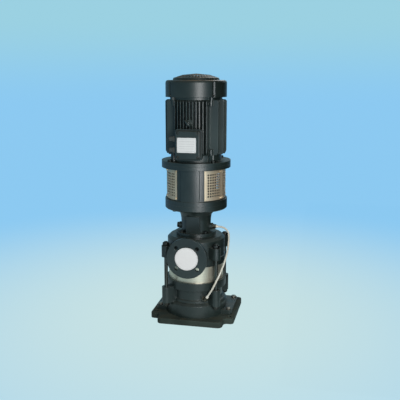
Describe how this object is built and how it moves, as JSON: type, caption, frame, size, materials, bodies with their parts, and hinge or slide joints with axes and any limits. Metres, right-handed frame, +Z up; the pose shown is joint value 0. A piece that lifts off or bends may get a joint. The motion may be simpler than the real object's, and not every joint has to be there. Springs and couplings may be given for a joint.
{
  "type": "vertical multistage pump",
  "caption": "Vertical multistage centrifugal pump with flanged motor, guarded coupling stool, flanged ports and balance tube.",
  "frame": {"origin": "centre of the base plate's underside, on the pump's axis", "axes": "+Z up along the shaft, -Y the front with the discharge flange and the terminal box, +X the right-hand side with the balance tube"},
  "size_m": [0.374, 0.4, 1.074],
  "materials": {
    "casting_paint": "satin paint over a cast surface",
    "motor_paint": "satin paint",
    "zinc_steel": "zinc plated",
    "dark_steel": "blackened",
    "eye_steel": "painted",
    "rod_steel": "dark bright-drawn bar",
    "shaft_steel": "ground",
    "stainless": "pressed and brushed",
    "sleeve_steel": "brushed, warm reflection",
    "guard_steel": "brushed sheet",
    "core_steel": "laminated sheet",
    "bearing_steel": "polished",
    "coupling_iron": "machined",
    "bronze": "turned",
    "brass_fitting": "plated",
    "copper": "varnished winding",
    "black_rubber": "matte",
    "seal_ceramic": "lapped ceramic",
    "seal_carbon": "lapped carbon",
    "fan_plastic": "moulded",
    "block_plastic": "moulded",
    "plug_plastic": "moulded",
    "white_film": "bare white film",
    "white_plate": "bare white plate",
    "white_tube": "ivory tube"
  },
  "bodies": {
    "housing": {"base_plate": "casting_paint", "foot_bolts": "zinc_steel", "suction_casing": "casting_paint", "bottom_bush": "bronze", "inlet_plate": "stainless", "stage_bowl_1": "stainless", "stage_bowl_2": "stainless", "stage_bowl_3": "stainless", "pump_sleeve": "sleeve_steel", "sleeve_gaskets": "black_rubber", "discharge_casing": "casting_paint", "port_cover": "white_film", "tie_rods": "rod_steel", "tie_rod_nuts": "dark_steel", "neck": "casting_paint", "neck_bolts": "dark_steel", "pipe_plugs": "dark_steel", "seal_seat": "seal_ceramic", "seal_cover": "stainless", "motor_stool": "casting_paint", "coupling_guard_right": "guard_steel", "coupling_guard_left": "guard_steel", "guard_screws": "guard_steel", "stool_bolts": "dark_steel", "stator_core": "core_steel", "stator_windings": "copper", "bearing_outer_rings": "bearing_steel", "drive_endshield": "motor_paint", "motor_bolts": "dark_steel", "motor_frame": "motor_paint", "fan_endshield": "motor_paint", "fan_cowl": "motor_paint", "cowl_screws": "dark_steel", "terminal_box": "motor_paint", "terminal_lid": "motor_paint", "lid_screws": "dark_steel", "rating_plate": "white_plate", "terminal_block": "block_plastic", "cable_plugs": "plug_plastic", "lifting_eye": "eye_steel", "upper_tube_fitting": "brass_fitting", "balance_tube": "white_tube", "lower_tube_fitting": "brass_fitting"},
    "rotor": {"pump_shaft": "shaft_steel", "impeller_1": "stainless", "impeller_2": "stainless", "impeller_3": "stainless", "impeller_spacers": "stainless", "impeller_nut": "stainless", "seal_face": "seal_carbon", "seal_bellows": "black_rubber", "coupling_front_half": "coupling_iron", "coupling_back_half": "coupling_iron", "coupling_bolts": "dark_steel", "coupling_key": "shaft_steel", "motor_shaft": "shaft_steel", "rotor_core": "core_steel", "bearing_inner_rings": "bearing_steel", "cooling_fan": "fan_plastic"},
    "ball_sets": {"bearing_balls": "bearing_steel"}
  },
  "joints": [
    {"name": "rotor_spin", "type": "hinge", "parent": "housing", "child": "rotor", "pos_m": [0, 0, 0.5], "axis": [0, 0, 1], "continuous": true},
    {"name": "ball_set_spin", "type": "hinge", "parent": "housing", "child": "ball_sets", "pos_m": [0, 0, 0.8], "axis": [0, 0, 1], "continuous": true}
  ],
  "couplings": [
    {"joint": "ball_set_spin", "follows": "rotor_spin", "ratio": 0.3846}
  ]
}
